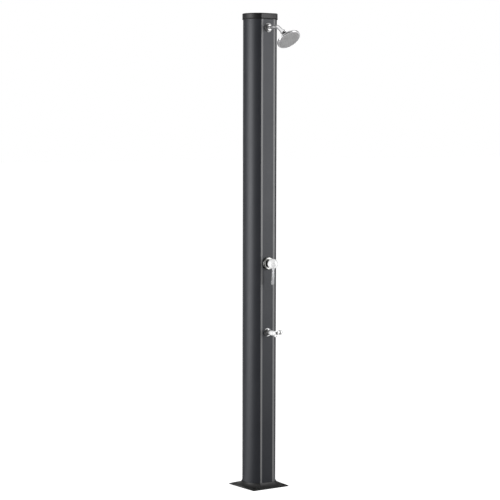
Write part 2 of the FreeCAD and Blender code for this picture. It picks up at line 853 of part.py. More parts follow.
def hot_pipe():
    """From the tank's top down the duct and round into the mixer's right port."""
    top = f"{HOT_OUTLET_HEIGHT} - {PORT_STOP}"
    body = bent_pipe("XZ_Plane", [
        ("hot_pipe_x", top),
        ("hot_pipe_x", "mixer_height + hot_bend"),
        ("hot_pipe_x - hot_bend", "mixer_height", "right", "hot_bend"),
        (PORT_STOP, "mixer_height"),
    ], "XY_Plane", top, "pipe_radius", "pipe_radius - pipe_wall", x="hot_pipe_x")
    return place_tube(body)


def pipe_clips(heights, right, pipes):
    """Saddles that hold the pipes to the web."""
    depth = f"pipe_setback - {WEB_FACE}"
    reach = "(pipe_radius + clip_margin)"
    clips = []
    for height in heights:
        low = f"{height} - clip_height / 2"
        body = block(f"{right} + 2 * {reach}", depth, "clip_height", f"-{reach}", "-pipe_setback", low)
        tools = [place(cylinder("pipe_radius + fit", "2 * clip_height"), x=x, y="-pipe_setback",
                       z=f"{low} - clip_height / 2") for x in pipes]
        clips.append(cut(body, *tools))
    return group(*clips)


def upper_pipe_clips():
    heights = [f"mixer_height + ({ARM_HEIGHT} - mixer_height) * {n} / 4" for n in (1, 2, 3)]
    return pipe_clips(heights, "hot_pipe_x", ["0", "hot_pipe_x"])


def lower_pipe_clips():
    heights = ["(inlet_height + tap_height) / 2", "(tap_height + mixer_height) / 2"]
    return pipe_clips(heights, "0", ["0"])


def backing_plate(radius, height):
    """Steel plate behind the slot that a fitting is clamped against."""
    plate = block("plate_width", "plate_thickness", "plate_height",
                  "-plate_width / 2", f"-{SLOT_INNER}", f"{height} - plate_height / 2")
    return cut(plate, front_hole(f"{radius} + loose_fit", f"2 * {PLATE_BACK}", height))


def arm_plate():
    return backing_plate("arm_radius", ARM_HEIGHT)


def mixer_plate():
    return backing_plate("mixer_neck", "mixer_height")


def tap_plate():
    return backing_plate("tap_thread", "tap_height")


def rosette(radius, height, bore, place_height):
    """Domed cover plate round a fitting."""
    body = turned([
        (f"{bore} + fit", "0"),
        (radius, "0"),
        (radius, "rosette_edge"),
        (f"{bore} + rosette_land", height, "left", "rosette_curve"),
        (f"{bore} + fit", height),
    ])
    return facing_front(body, place_height)


# Shower arm, ball joint and head


def arm_rosette():
    return rosette("arm_rosette_radius", "arm_rosette_height", "arm_radius", ARM_HEIGHT)


def arm_elbow():
    """Elbow in the duct: mixed water comes up from below and leaves through the arm."""
    middle = rod("elbow_radius", f"-{PIPE_SINK} - port_radius - 1", f"-{PLATE_BACK}")
    socket = rod("arm_radius + fit", f"-{PLATE_BACK} - arm_socket", "0")
    return facing_front(cut(fused(middle, pipe_port("down")), socket, *port_bore("down")), ARM_HEIGHT)


def shower_arm():
    """Chromed tube, straight out of the cover and then bent down to the ball joint."""
    tangent = "arm_bend * tan(arm_drop / 2)"
    last = "(arm_end - neck_length - sleeve_length + sleeve_seat)"
    inner_end = f"{PLATE_BACK} + arm_socket"
    body = bent_pipe("YZ_Plane", [
        (inner_end, "0"),
        (f"-(arm_run - {tangent})", "0"),
        (f"-(arm_run + {tangent} * cos(arm_drop))", f"-{tangent} * sin(arm_drop)", "left", "arm_bend"),
        (f"-(arm_run + {last} * cos(arm_drop))", f"-{last} * sin(arm_drop)"),
    ], "XZ_Plane", f"-({inner_end})", "arm_radius", "arm_bore")
    return place(body, y="-front_flat", z=ARM_HEIGHT)


def at_ball(item):
    """Puts an object's origin at the ball's centre and its +Z along the arm's lower end."""
    return facing_front(item, BALL_HEIGHT, reach=BALL_REACH, drop="arm_drop")


def on_head(item):
    """Puts an object's origin at the ball's centre and its +Z along the head's own axis."""
    place(item, turn="90 + head_drop")
    return place(group(item), y=f"-(front_flat + {BALL_REACH})", z=BALL_HEIGHT,
                 axis=(0, 0, 1), turn="head_turn")


def arm_sleeve():
    """Chromed coupling on the arm's end, with a lip that holds the ball's flange."""
    sleeve_end = "-(neck_length + sleeve_length)"
    lip_end = "-(neck_length + sleeve_lip)"
    body = turned([
        ("neck_radius + fit", "-neck_length"),
        ("neck_radius + fit", lip_end),
        ("arm_radius + fit", lip_end),
        ("arm_radius + fit", sleeve_end),
        ("sleeve_radius - sleeve_chamfer", sleeve_end),
        ("sleeve_radius", f"{sleeve_end} + sleeve_chamfer"),
        ("sleeve_radius", "-neck_length - sleeve_chamfer"),
        ("sleeve_radius - sleeve_chamfer", "-neck_length"),
    ])
    return at_ball(body)


def swivel_ball():
    """Black ball on a neck, with a flange that the arm's end presses into the coupling."""
    lip_end = "-(neck_length + sleeve_lip + fit)"
    flange_end = "-(neck_length + sleeve_length - sleeve_seat - fit)"
    body = turned([
        ("ball_bore", "sqrt(ball_radius ^ 2 - ball_bore ^ 2)", "left", "ball_radius"),
        ("ball_bore", flange_end),
        ("arm_radius", flange_end),
        ("arm_radius", lip_end),
        ("neck_radius", lip_end),
        ("neck_radius", "-sqrt(ball_radius ^ 2 - neck_radius ^ 2)"),
    ])
    return at_ball(body)


def ball_seat():
    """Plastic ring between the ball and its socket."""
    inner = "(ball_radius + running_fit)"
    outer = "(ball_radius + running_fit + seat_thickness)"
    body = turned([
        (f"sqrt({inner} ^ 2 - seat_back ^ 2)", "-seat_back", "right", inner),
        (f"sqrt({outer} ^ 2 - seat_back ^ 2)", "-seat_back"),
        (f"sqrt({outer} ^ 2 - seat_front ^ 2)", "seat_front", "left", outer),
        (f"sqrt({inner} ^ 2 - seat_front ^ 2)", "seat_front"),
    ])
    return at_ball(body)


def collar_nut():
    """Black nut that closes the socket behind the ball."""
    opening = f"asin(neck_radius / {SOCKET}) + (swivel_limit + collar_margin) * 1 deg"
    thread = f"{SOCKET} + hub_wall + fit"
    body = turned([
        (SOCKET, "0", "left", SOCKET),
        (thread, "0"),
        (thread, "collar_length"),
        (f"{thread} + collar_wall", "collar_length"),
        (f"{thread} + collar_wall", "-collar_back / 3"),
        (f"{SOCKET}", "-collar_back"),
        (f"{SOCKET} * sin({opening})", f"-{SOCKET} * cos({opening})"),
    ])
    return on_head(body)


def head_housing():
    """Domed head: half of the ball's socket, the water way and the rim round the face."""
    face_seat = f"{FACE_BACK} - mat_thickness"
    ledge = "head_radius - rim_width - seal_width - 1"
    body = turned([
        (SOCKET, "0", "right", SOCKET),
        (f"{SOCKET} + hub_wall", "0"),
        (f"{SOCKET} + hub_wall", "collar_length + 1"),
        (f"{SOCKET} + hub_wall + dome_drop", "collar_length + dome_drop"),
        ("head_radius - rim_round", "head_depth - rim_height", "left", "dome_curve"),
        ("head_radius", "head_depth - rim_height + rim_round", "left", "rim_round"),
        ("head_radius", "head_depth - rim_round"),
        ("head_radius - rim_round", "head_depth", "left", "rim_round"),
        ("head_radius - rim_width", "head_depth"),
        ("head_radius - rim_width", face_seat),
        (ledge, face_seat),
        (f"{ledge} - head_wall / 2", f"{face_seat} - head_wall"),
        (f"{SOCKET} + hub_wall + dome_drop", "collar_length + dome_drop + head_wall + 1"),
        ("channel_radius", "collar_length + dome_drop + head_wall"),
        ("channel_radius", f"sqrt({SOCKET} ^ 2 - channel_radius ^ 2)"),
    ])
    return on_head(body)


def head_seal():
    """Rubber ring under the face's edge."""
    outer = "head_radius - rim_width - fit"
    inner = f"{outer} - seal_width + fit"
    low = f"{FACE_BACK} - mat_thickness"
    body = turned([(inner, low), (outer, low), (outer, FACE_BACK), (inner, FACE_BACK)])
    return on_head(body)


def nozzle_rings(body, kind, lift, radius, length):
    """Rings of holes or nozzles, six more in each ring."""
    for n, ring in enumerate(NOZZLE_RINGS, 1):
        sketch = new_sketch(body, lift=lift)
        circle(sketch, radius, ring)
        first = feature(body, kind, sketch, length, Reversed=(kind == "Pocket"))
        pattern = body.newObject("PartDesign::PolarPattern", "Ring")
        pattern.Originals = [first]
        pattern.Axis = (origin_item(body, "Z_Axis"), [""])
        pattern.Angle = 360
        pattern.Occurrences = 6 * n
        body.Tip = pattern


def head_face():
    """Grey face plate that the nozzles come through."""
    body = new_body()
    disc = new_sketch(body, lift=FACE_BACK)
    circle(disc, "head_radius - rim_width - fit")
    feature(body, "Pad", disc, "face_thickness")
    nozzle_rings(body, "Pocket", FACE_BACK, "nozzle_radius + fit", "face_thickness")
    return on_head(body)


def head_nozzles():
    """Rubber mat behind the face, with the nozzles that can be rubbed clean."""
    body = new_body()
    disc = new_sketch(body, lift=f"{FACE_BACK} - mat_thickness")
    circle(disc, "head_radius - rim_width - seal_width - 2 * fit")
    feature(body, "Pad", disc, "mat_thickness")
    nozzle_rings(body, "Pad", f"{FACE_BACK} - mat_thickness / 2", "nozzle_radius",
                 "mat_thickness / 2 + face_thickness + nozzle_rise")
    return on_head(body)


# Mixer


def mixer_body():
    """Brass valve body in the duct; its threaded neck comes through plate and cover."""
    middle = rod("mixer_radius", "-mixer_depth", f"-{PLATE_BACK}")
    neck = rod("mixer_neck", f"-{PLATE_BACK} - 1", "neck_reach")
    cavity = rod("cartridge_radius + fit", "-cartridge_depth", "neck_reach + 1")
    sides = ("down", "up", "right")
    bores = [bore for side in sides for bore in port_bore(side)]
    return facing_front(cut(fused(middle, neck, *map(pipe_port, sides)), cavity, *bores), "mixer_height")


def mixer_cartridge():
    """Ceramic cartridge that the rotor turns in."""
    body = turned([
        ("0", "-cartridge_depth"),
        ("cartridge_radius", "-cartridge_depth"),
        ("cartridge_radius", "cartridge_reach"),
        ("rotor_stem + running_fit", "cartridge_reach"),
        ("rotor_stem + running_fit", "-rotor_depth"),
        ("0", "-rotor_depth"),
    ])
    return facing_front(body, "mixer_height")


def cartridge_ring():
    """Ring nut that holds the cartridge down."""
    front = "neck_reach + ring_height"
    body = turned([
        ("ring_bore", "cartridge_reach"),
        ("cartridge_radius", "cartridge_reach"),
        ("cartridge_radius", "neck_reach"),
        ("ring_flange", "neck_reach"),
        ("ring_flange", f"{front} - rosette_edge"),
        ("ring_flange - rosette_edge", front),
        ("ring_bore", front),
    ])
    return facing_front(body, "mixer_height")


def mixer_rosette():
    """Chromed cup, screwed over the neck against the cover."""
    body = turned([
        ("mixer_neck + fit", "0"),
        ("cup_radius", "0"),
        ("cup_radius", "cup_height - cup_round"),
        ("cup_radius - cup_round", "cup_height", "left", "cup_round"),
        ("cup_radius - cup_wall", "cup_height"),
        ("cup_radius - cup_wall", "cup_floor"),
        ("mixer_neck + fit", "cup_floor"),
    ])
    return facing_front(body, "mixer_height")


def mixer_rotor():
    """Spindle of the cartridge, with a fork in front that carries the ball handle."""
    stem = rod("rotor_stem", "-rotor_depth", "fork_start + 1")
    fork = rod("fork_radius", "fork_start", "mixer_ball_reach + fork_over")
    half_slot = "(tongue_width / 2 + slot_play)"
    slot = block(f"2 * {half_slot}", "4 * fork_radius", "mixer_ball_reach",
                 f"-{half_slot}", "-2 * fork_radius", "fork_root")
    eye = across("pivot_radius + running_fit", "2 * fork_radius", "mixer_ball_reach")
    return facing_front(cut(fused(stem, fork), slot, eye), "mixer_height")


def across(radius, half_length, z="0"):
    """A rod along X, to both sides of the middle."""
    return place(cylinder(radius, f"2 * ({half_length})"), x=f"-({half_length})", z=z,
                 axis=(0, 1, 0), turn="90")


def at_handle(item):
    """Puts an object's origin at the middle of the ball handle."""
    return facing_front(item, "mixer_height", reach="mixer_ball_reach")


def mixer_pin():
    """Hinge pin of the ball handle, across the fork."""
    half_length = "fork_radius - pin_inset"
    return place(cylinder("pivot_radius", f"2 * ({half_length})"), x=f"-({half_length})",
                 y="-(front_flat + mixer_ball_reach)", z="mixer_height", axis=(0, 1, 0), turn="90")


def mixer_ball():
    """Hollow chromed ball, open behind for the rotor; a tongue inside it swings on the pin."""
    inner = "(mixer_ball_radius - mixer_ball_wall)"
    mouth = block("2 * mouth_side", "mouth_down + mouth_up", "mixer_ball_radius",
                  "-mouth_side", "-mouth_down", "-(mouth_depth + mixer_ball_radius)")
    shell = cut(ball("mixer_ball_radius"), ball(inner), mouth)
    tongue = block("tongue_width", "tongue_depth", f"{inner} + tongue_depth / 2 + mixer_ball_wall / 2",
                   "-tongue_width / 2", "-tongue_depth / 2", "-tongue_depth / 2")
    stud_hole = place(cylinder("lever_stud + fit", "mixer_ball_radius"),
                      y="-mixer_ball_radius / 2", z=STUD_REACH, turn="90")
    pin_hole = across("pivot_radius + running_fit", "tongue_width")
    return at_handle(cut(fused(shell, tongue), pin_hole, stud_hole))


def mixer_lever():
    """Flat lever that hangs from the ball, on a stud pressed into it."""
    body = new_body()
    sections = []
    for lift, part in (("mixer_ball_radius - mixer_ball_wall / 2", "root"), ("lever_length * 0.55", "mid"),
                       ("lever_length", "tip")):
        section = new_sketch(body, "XZ_Plane", lift)
        rectangle(section, f"lever_{part}_width", f"lever_{part}_thickness",
                  y=f"lever_{part}_reach - mixer_ball_reach")
        sections.append(section)
    loft(body, sections)
    top = -value("mixer_ball_radius - mixer_ball_wall / 2")
    rounded(body, "lever_round", lambda edge: edge.BoundBox.YMin < top - 0.01)
    stud = place(cylinder("lever_stud", "mixer_ball_wall + lever_stud"),
                 y="-(mixer_ball_radius - mixer_ball_wall)", z=STUD_REACH, turn="90")
    return at_handle(fused(cut(body, ball("mixer_ball_radius")), stud))


# Lower tap


def tap_rosette():
    return rosette("tap_rosette_radius", "tap_rosette_height", "barrel_radius", "tap_height")


def tap_block():
    """Brass block in the duct that the cold pipe runs through."""
    middle = rod("tap_block_radius", f"-{PIPE_SINK} - port_radius - 1", f"-{PLATE_BACK}")
    thread = rod("tap_thread + fit", f"-{PLATE_BACK} - tap_thread_depth", "0")
    bores = [bore for side in ("down", "up") for bore in port_bore(side)]
    whole = fused(middle, pipe_port("down"), pipe_port("up"))
    return facing_front(cut(whole, thread, *bores), "tap_height")


def tap_barrel():
    """Chromed body of the tap, with its spout below and a socket for the headwork in front."""
    neck_end = f"-{PLATE_BACK} - tap_thread_depth"
    solid = fused(
        rod("tap_thread", neck_end, "1"),
        rod("barrel_radius", "0", "barrel_reach"),
        ball("barrel_nose", "barrel_reach"),
        place(cylinder("spout_radius", "spout_fall"), z="spout_reach", turn="90"),
        place(cylinder("bonnet_socket", "bonnet_seat"), z="barrel_reach", turn="-knob_rise"),
    )
    bore = rod("barrel_bore", f"{neck_end} - 1", "barrel_reach")
    spout_bore = place(cylinder("channel_radius", "spout_fall + 1"), z="spout_reach", turn="90")
    insert_seat = place(cylinder("nozzle_insert + fit", "nozzle_insert_depth + 1"),
                        y="-(spout_fall - nozzle_insert_depth)", z="spout_reach", turn="90")
    headwork = place(cylinder("bonnet_plug + fit", "bonnet_seat"), z="barrel_reach", turn="-knob_rise")
    return facing_front(cut(solid, bore, spout_bore, insert_seat, headwork), "tap_height")


def tap_nozzle():
    """Aerator in the spout's mouth."""
    solids = [place(cylinder(radius, "nozzle_insert_depth + insert_rise"),
                    y="-(spout_fall - nozzle_insert_depth)", z="spout_reach", turn="90")
              for radius in ("nozzle_insert", "insert_bore")]
    return facing_front(cut(*solids), "tap_height")


def at_headwork(item):
    """Puts an object's +Z on the tap's headwork axis."""
    return facing_front(item, "tap_height", reach="barrel_reach", drop="-knob_rise")


def tap_bonnet():
    """Black bushing that holds the spindle in the barrel."""
    bore = "spindle_radius + running_fit"
    return at_headwork(turned([
        (bore, "bonnet_start"),
        ("bonnet_plug", "bonnet_start"),
        ("bonnet_plug", "bonnet_seat"),
        ("bonnet_radius", "bonnet_seat"),
        ("bonnet_radius", "bonnet_end"),
        (bore, "bonnet_end"),
    ]))


def tap_spindle():
    """Spindle with a foot that keeps it from coming out through the bushing."""
    foot_end = "(bonnet_start - loose_fit)"
    return at_headwork(fused(rod("spindle_radius", f"{foot_end} - foot_length", "spindle_end"),
                             rod("spindle_foot", f"{foot_end} - foot_length", foot_end)))


def tap_knob():
    """Round chromed knob on the spindle's end."""
    return at_headwork(turned([
        ("spindle_radius + fit", "bonnet_end + knob_gap"),
        ("knob_neck", "bonnet_end + knob_gap"),
        ("knob_neck", "knob_centre - sqrt(knob_radius ^ 2 - knob_neck ^ 2)"),
        ("0", "knob_centre + knob_radius", "left", "knob_radius"),
        ("0", "spindle_end"),
        ("spindle_radius + fit", "spindle_end"),
    ]))


SUB_PARTS = [
    base_flange, base_screws, column_shell, front_cover, trim_strip_left, trim_strip_right,
    top_cap, cap_screws, tank_plug_top, tank_plug_bottom, tank_seals,
    inlet_connector, inlet_gasket, inlet_nut, cross_pipe, cold_elbow, drain_plug, drain_gasket,
    cold_pipe_lower, cold_pipe_upper, mixed_pipe, hot_outlet, hot_nut, hot_pipe,
    upper_pipe_clips, lower_pipe_clips, arm_plate, mixer_plate, tap_plate,
    arm_rosette, arm_elbow, shower_arm, arm_sleeve, swivel_ball, ball_seat,
    collar_nut, head_housing, head_seal, head_face, head_nozzles,
    mixer_body, mixer_cartridge, cartridge_ring, mixer_rosette, mixer_rotor, mixer_pin,
    mixer_ball, mixer_lever,
    tap_rosette, tap_block, tap_barrel, tap_nozzle, tap_bonnet, tap_spindle, tap_knob,
]

finished = {}
for make in SUB_PARTS:
    item = make()
    item.Label = make.__name__
    finished[make.__name__] = item
doc.recompute()

for item in doc.Objects:
    if "Invalid" in item.State or "Error" in item.State:
        raise RuntimeError(f"{item.Label} ({item.Name}) failed: {item.State}")
os.makedirs("parts", exist_ok=True)
for name, item in finished.items():
    shape = item.Shape
    if shape.isNull() or not shape.isValid() or not shape.Solids:
        raise RuntimeError(f"{name} has no valid solid")
    shape.exportStep(f"parts/{name}.step")
    print(f"{name}: {len(shape.Solids)} solid(s), {shape.Volume / 1000:.2f} cm3")
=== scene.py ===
from math import cos, radians, sin

import bmesh
import bpy
from mathutils import Matrix, Vector


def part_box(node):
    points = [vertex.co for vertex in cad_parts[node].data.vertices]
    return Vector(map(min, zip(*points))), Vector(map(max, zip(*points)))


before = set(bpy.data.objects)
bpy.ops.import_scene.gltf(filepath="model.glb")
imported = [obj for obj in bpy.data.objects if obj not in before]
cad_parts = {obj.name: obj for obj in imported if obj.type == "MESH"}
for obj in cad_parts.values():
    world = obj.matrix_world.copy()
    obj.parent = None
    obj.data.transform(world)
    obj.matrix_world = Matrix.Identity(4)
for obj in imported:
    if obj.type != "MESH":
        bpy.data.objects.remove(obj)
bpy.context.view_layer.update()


# Studio view: a long lens far off to the front left, half a metre below the post's top and
# tipped down, so the post's edges run nearly parallel. Angles round the post count from the
# middle of its front.
CAMERA_SIDE = radians(-35.549)
CAMERA_AWAY = 7.904561
CAMERA_HEIGHT = 1.663888
CAMERA_TURN = radians(0.312)
CAMERA_TIP = radians(4.132)
CAMERA_ROLL = radians(0.127)
LENS_PIXELS = 1725.76
PICTURE_PIXELS = 500


def round_post(side, away, height):
    """A place at an angle round the post, at a distance from its axis."""
    return Vector((sin(side) * away, -cos(side) * away, height))


camera_data = bpy.data.cameras.new("post_camera")
camera_data.sensor_width = 36.0
camera_data.lens = LENS_PIXELS / PICTURE_PIXELS * camera_data.sensor_width
camera = bpy.data.objects.new("post_camera", camera_data)
bpy.context.scene.collection.objects.link(camera)
camera.matrix_world = (
    Matrix.Translation(round_post(CAMERA_SIDE, CAMERA_AWAY, CAMERA_HEIGHT))
    @ Matrix.Rotation(CAMERA_SIDE + CAMERA_TURN, 4, "Z")
    @ Matrix.Rotation(radians(90) - CAMERA_TIP, 4, "X")
    @ Matrix.Rotation(CAMERA_ROLL, 4, "Z")
)
bpy.context.scene.camera = camera
bpy.context.scene.view_settings.view_transform = "Standard"


# Studio cards: how light the room is in reflections, from straight behind the post round to
# the camera. The camera's side is dark, white cards stand beside the post and a ring of dark
# flags stands round the backdrop. The camera itself sees none of them.
CARDS_TURN = 0.26
CARD_LEVELS = ((0.02, 0.7), (0.05, 0.10), (0.22, 0.12), (0.36, 0.9), (0.55, 0.9), (0.78, 0.05))


def feed(tree, node, inputs):
    """Gives each named input of a node a value, or another node's output."""
    for name, source in inputs.items():
        if isinstance(source, bpy.types.NodeSocket):
            tree.links.new(source, node.inputs[name])
        else:
            node.inputs[name].default_value = source


def add_node(tree, kind, inputs=None, **settings):
    """A new node with its settings and inputs."""
    node = tree.nodes.new(kind)
    for name, setting in settings.items():
        setattr(node, name, setting)
    feed(tree, node, inputs or {})
    return node


def add_group(name, inputs, outputs):
    """A new node group. Each socket's name is given with its kind, Vector or Float."""
    group = bpy.data.node_groups.new(name, "ShaderNodeTree")
    for in_out, sockets in (("INPUT", inputs), ("OUTPUT", outputs)):
        for socket, kind in sockets.items():
            group.interface.new_socket(socket, in_out=in_out, socket_type=f"NodeSocket{kind}")
    return group


studio_cards = add_group("studio_cards", {"Direction": "Vector"}, {"Level": "Float"})
cards_in = add_node(studio_cards, "NodeGroupInput")
one_long = add_node(studio_cards, "ShaderNodeVectorMath", {0: cards_in.outputs["Direction"]},
                    operation="NORMALIZE")
to_camera = add_node(studio_cards, "ShaderNodeVectorMath",
                     {0: one_long.outputs["Vector"], 1: round_post(CAMERA_SIDE + CARDS_TURN, 1, 0)},
                     operation="DOT_PRODUCT")
from_behind = add_node(studio_cards, "ShaderNodeMapRange",
                       {"Value": to_camera.outputs["Value"], "From Min": -1})
card_levels = add_node(studio_cards, "ShaderNodeValToRGB", {"Fac": from_behind.outputs[0]})
card_levels.color_ramp.interpolation = "EASE"
stops = card_levels.color_ramp.elements
for stop, (position, level) in zip(stops, (CARD_LEVELS[0], CARD_LEVELS[-1])):
    stop.position = position
    stop.color = (level, level, level, 1)
for position, level in CARD_LEVELS[1:-1]:
    stops.new(position).color = (level, level, level, 1)
add_node(studio_cards, "NodeGroupOutput", {"Level": card_levels.outputs["Color"]})


# Floor: white seamless paper that runs on to the horizon. Its colour is lifted for the
# camera and for reflections, so it meets the white room and still takes the post's shadow.
FLOOR_HALF = 60.0
PAPER_COLOUR = 0.8
PAPER_LIFT = 0.66

floor_bm = bmesh.new()
bmesh.ops.create_grid(floor_bm, x_segments=8, y_segments=8, size=FLOOR_HALF)
floor_mesh = bpy.data.meshes.new("paper_floor")
floor_bm.to_mesh(floor_mesh)
floor_bm.free()
paper_floor = bpy.data.objects.new("paper_floor", floor_mesh)
bpy.context.scene.collection.objects.link(paper_floor)

paper = bpy.data.materials.new("white_paper")
paper.use_nodes = True
tree = paper.node_tree
tree.nodes.clear()
floor_rays = add_node(tree, "ShaderNodeLightPath")
on_floor = add_node(tree, "ShaderNodeTexCoord")
floor_cards = add_node(tree, "ShaderNodeGroup", {"Direction": on_floor.outputs["Object"]},
                       node_tree=studio_cards)
reflected = add_node(tree, "ShaderNodeMath",
                     {0: floor_rays.outputs["Is Glossy Ray"], 1: floor_cards.outputs["Level"]},
                     operation="MULTIPLY")
seen = add_node(tree, "ShaderNodeMath",
                {0: floor_rays.outputs["Is Camera Ray"], 1: reflected.outputs[0]}, operation="MAXIMUM")
seen_through = add_node(tree, "ShaderNodeMath",
                        {0: seen.outputs[0], 1: floor_rays.outputs["Is Transmission Ray"]},
                        operation="MAXIMUM")
lift_level = add_node(tree, "ShaderNodeMath", {0: seen_through.outputs[0], 1: PAPER_LIFT},
                      operation="MULTIPLY")
lift = add_node(tree, "ShaderNodeEmission", {"Strength": lift_level.outputs[0]})
paper_colour = add_node(tree, "ShaderNodeMix",
                        {"Factor": floor_rays.outputs["Is Glossy Ray"], "A": PAPER_COLOUR,
                         "B": floor_cards.outputs["Level"]}, data_type="FLOAT")
matt = add_node(tree, "ShaderNodeBsdfDiffuse", {"Color": paper_colour.outputs["Result"]})
both = add_node(tree, "ShaderNodeAddShader", {0: matt.outputs[0], 1: lift.outputs[0]})
add_node(tree, "ShaderNodeOutputMaterial", {"Surface": both.outputs[0]})
floor_mesh.materials.append(paper)


# Room: white wherever the camera looks, with the studio cards in reflections. Dull surfaces
# take an even, dimmer light from it.
CAMERA_LEVEL = 1.0
DULL_LEVEL = 0.5

room = bpy.data.worlds.new("white_room")
bpy.context.scene.world = room
room.use_nodes = True
tree = room.node_tree
tree.nodes.clear()
room_rays = add_node(tree, "ShaderNodeLightPath")
direction = add_node(tree, "ShaderNodeTexCoord")
room_cards = add_node(tree, "ShaderNodeGroup", {"Direction": direction.outputs["Generated"]},
                      node_tree=studio_cards)
for_dull = add_node(tree, "ShaderNodeMix",
                    {"Factor": room_rays.outputs["Is Diffuse Ray"], "A": room_cards.outputs["Level"],
                     "B": DULL_LEVEL}, data_type="FLOAT")
for_camera = add_node(tree, "ShaderNodeMix",
                      {"Factor": room_rays.outputs["Is Camera Ray"], "A": for_dull.outputs["Result"],
                       "B": CAMERA_LEVEL}, data_type="FLOAT")
room_light = add_node(tree, "ShaderNodeBackground",
                      {"Color": (1, 1, 1, 1), "Strength": for_camera.outputs["Result"]})
add_node(tree, "ShaderNodeOutputWorld", {"Surface": room_light.outputs[0]})


# Lamps: two upright softboxes, a strong one at the post's left and a narrower one at its
# right, which draw the highlight on the round back and light the flat front.
LAMPS_AIM = Vector((0, 0, 1.2))


def softbox(name, side, away, height, width, tall, power):
    """An upright soft light at an angle in degrees round the post, facing it."""
    lamp_data = bpy.data.lights.new(name, "AREA")
    lamp_data.shape = "RECTANGLE"
    lamp_data.size = width
    lamp_data.size_y = tall
    lamp_data.energy = power
    lamp = bpy.data.objects.new(name, lamp_data)
    bpy.context.scene.collection.objects.link(lamp)
    place = round_post(radians(side), away, height)
    facing = (LAMPS_AIM - place).to_track_quat("-Z", "Y").to_matrix().to_4x4()
    lamp.matrix_world = Matrix.Translation(place) @ facing


softbox("left_softbox", side=-101, away=3.2, height=1.5, width=1.7, tall=2.5, power=78)
softbox("right_softbox", side=38, away=3.0, height=1.8, width=1.1, tall=2.9, power=54)


# Column: one aluminium extrusion with a round back, and the flat extruded cover of its duct.
# Both are powder coated in a dark satin grey, with a fine, even orange peel and hardly any
# change of tone.
MM = 0.001

surface_play = add_group("surface_play",
                         {"Vector": "Vector", "Cloud Scale": "Float", "Grain Scale": "Float"},
                         {"Cloud": "Float", "Grain": "Float"})
play_in = add_node(surface_play, "NodeGroupInput")
cloud = add_node(surface_play, "ShaderNodeTexNoise",
                 {"Vector": play_in.outputs["Vector"], "Scale": play_in.outputs["Cloud Scale"],
                  "Detail": 4.0})
cloud_spread = add_node(surface_play, "ShaderNodeMapRange",
                        {"Value": cloud.outputs["Fac"], "From Min": 0.32, "From Max": 0.68})
grain = add_node(surface_play, "ShaderNodeTexNoise",
                 {"Vector": play_in.outputs["Vector"], "Scale": play_in.outputs["Grain Scale"],
                  "Detail": 2.0})
add_node(surface_play, "NodeGroupOutput",
         {"Cloud": cloud_spread.outputs[0], "Grain": grain.outputs["Fac"]})


def make_finish(name, colour, second_colour, roughness, cloud_scale, grain_scale, metallic=0.0,
                grain_depth=0.02, stretch=(1, 1, 1), specular=0.5):
    """A finish whose tone and gloss drift between two values, with a fine grain.

    The grain's depth is in millimetres. Stretch draws the pattern out along the way a surface
    was brushed or extruded.
    """
    material = bpy.data.materials.new(name)
    material.use_nodes = True
    tree = material.node_tree
    where = add_node(tree, "ShaderNodeTexCoord")
    drawn_out = add_node(tree, "ShaderNodeMapping", {"Vector": where.outputs["Object"], "Scale": stretch})
    play = add_node(tree, "ShaderNodeGroup",
                    {"Vector": drawn_out.outputs["Vector"], "Cloud Scale": cloud_scale,
                     "Grain Scale": grain_scale}, node_tree=surface_play)
    tone = add_node(tree, "ShaderNodeMix",
                    {"Factor": play.outputs["Cloud"], "A": (*colour, 1), "B": (*second_colour, 1)},
                    data_type="RGBA")
    gloss = add_node(tree, "ShaderNodeMapRange",
                     {"Value": play.outputs["Cloud"], "To Min": roughness[0], "To Max": roughness[1]})
    relief = add_node(tree, "ShaderNodeBump",
                      {"Height": play.outputs["Grain"], "Strength": 0.35, "Distance": grain_depth * MM})
    feed(tree, tree.nodes["Principled BSDF"],
         {"Base Color": tone.outputs["Result"], "Roughness": gloss.outputs[0],
          "Normal": relief.outputs["Normal"], "Metallic": metallic, "Specular IOR Level": specular})
    return material


def put_on(material, *names):
    """Gives CAD nodes a finish in place of their plain one."""
    for name in names:
        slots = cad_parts[name].data.materials
        slots.clear()
        slots.append(material)


dark_coat = make_finish("dark_powder_coat", (0.0225, 0.0245, 0.0305), (0.0265, 0.0285, 0.0345),
                        (0.42, 0.48), metallic=0.2, cloud_scale=5, grain_scale=1400)
put_on(dark_coat, "column_shell", "front_cover")


# Trims: two thin strips of extruded aluminium, natural anodised, that fill the rebates on
# both sides of the cover. Their brushing runs up the post.
satin_strip = make_finish("satin_anodised", (0.155, 0.155, 0.157), (0.18, 0.18, 0.183), (0.42, 0.50),
                          metallic=0.1, cloud_scale=60, grain_scale=700, stretch=(1, 1, 0.02))
put_on(satin_strip, "trim_strip_left", "trim_strip_right")


# Foot: a dark glass-filled moulding with the fine spark texture of its tool. The column
# stands in its collar, and four screws from below hold it to the bottom plug.
SPARK = {"cloud_scale": 12, "grain_scale": 1100, "grain_depth": 0.05, "specular": 0.42}
dark_moulding = make_finish("dark_moulding", (0.010, 0.010, 0.010), (0.014, 0.014, 0.014), (0.44, 0.54),
                            **SPARK)
put_on(dark_moulding, "base_flange")


# Cap: a lid moulded like the foot, pushed over the column's end and held by two screws at
# the back. Its rounded top edge and the lip at its foot carry painted shade: they are
# coloured darker and duller than the band between them.
EDGE_HEIGHT = 4.5
LIP_HEIGHT = 4.0
LIP_MARGIN = 0.4
# Colour of the painted shade on the cap's top edge and lip.
CAP_PAINTED_SHADE_TONE = (0.004, 0.004, 0.004)
cap_foot, cap_top = (corner.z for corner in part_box("top_cap"))

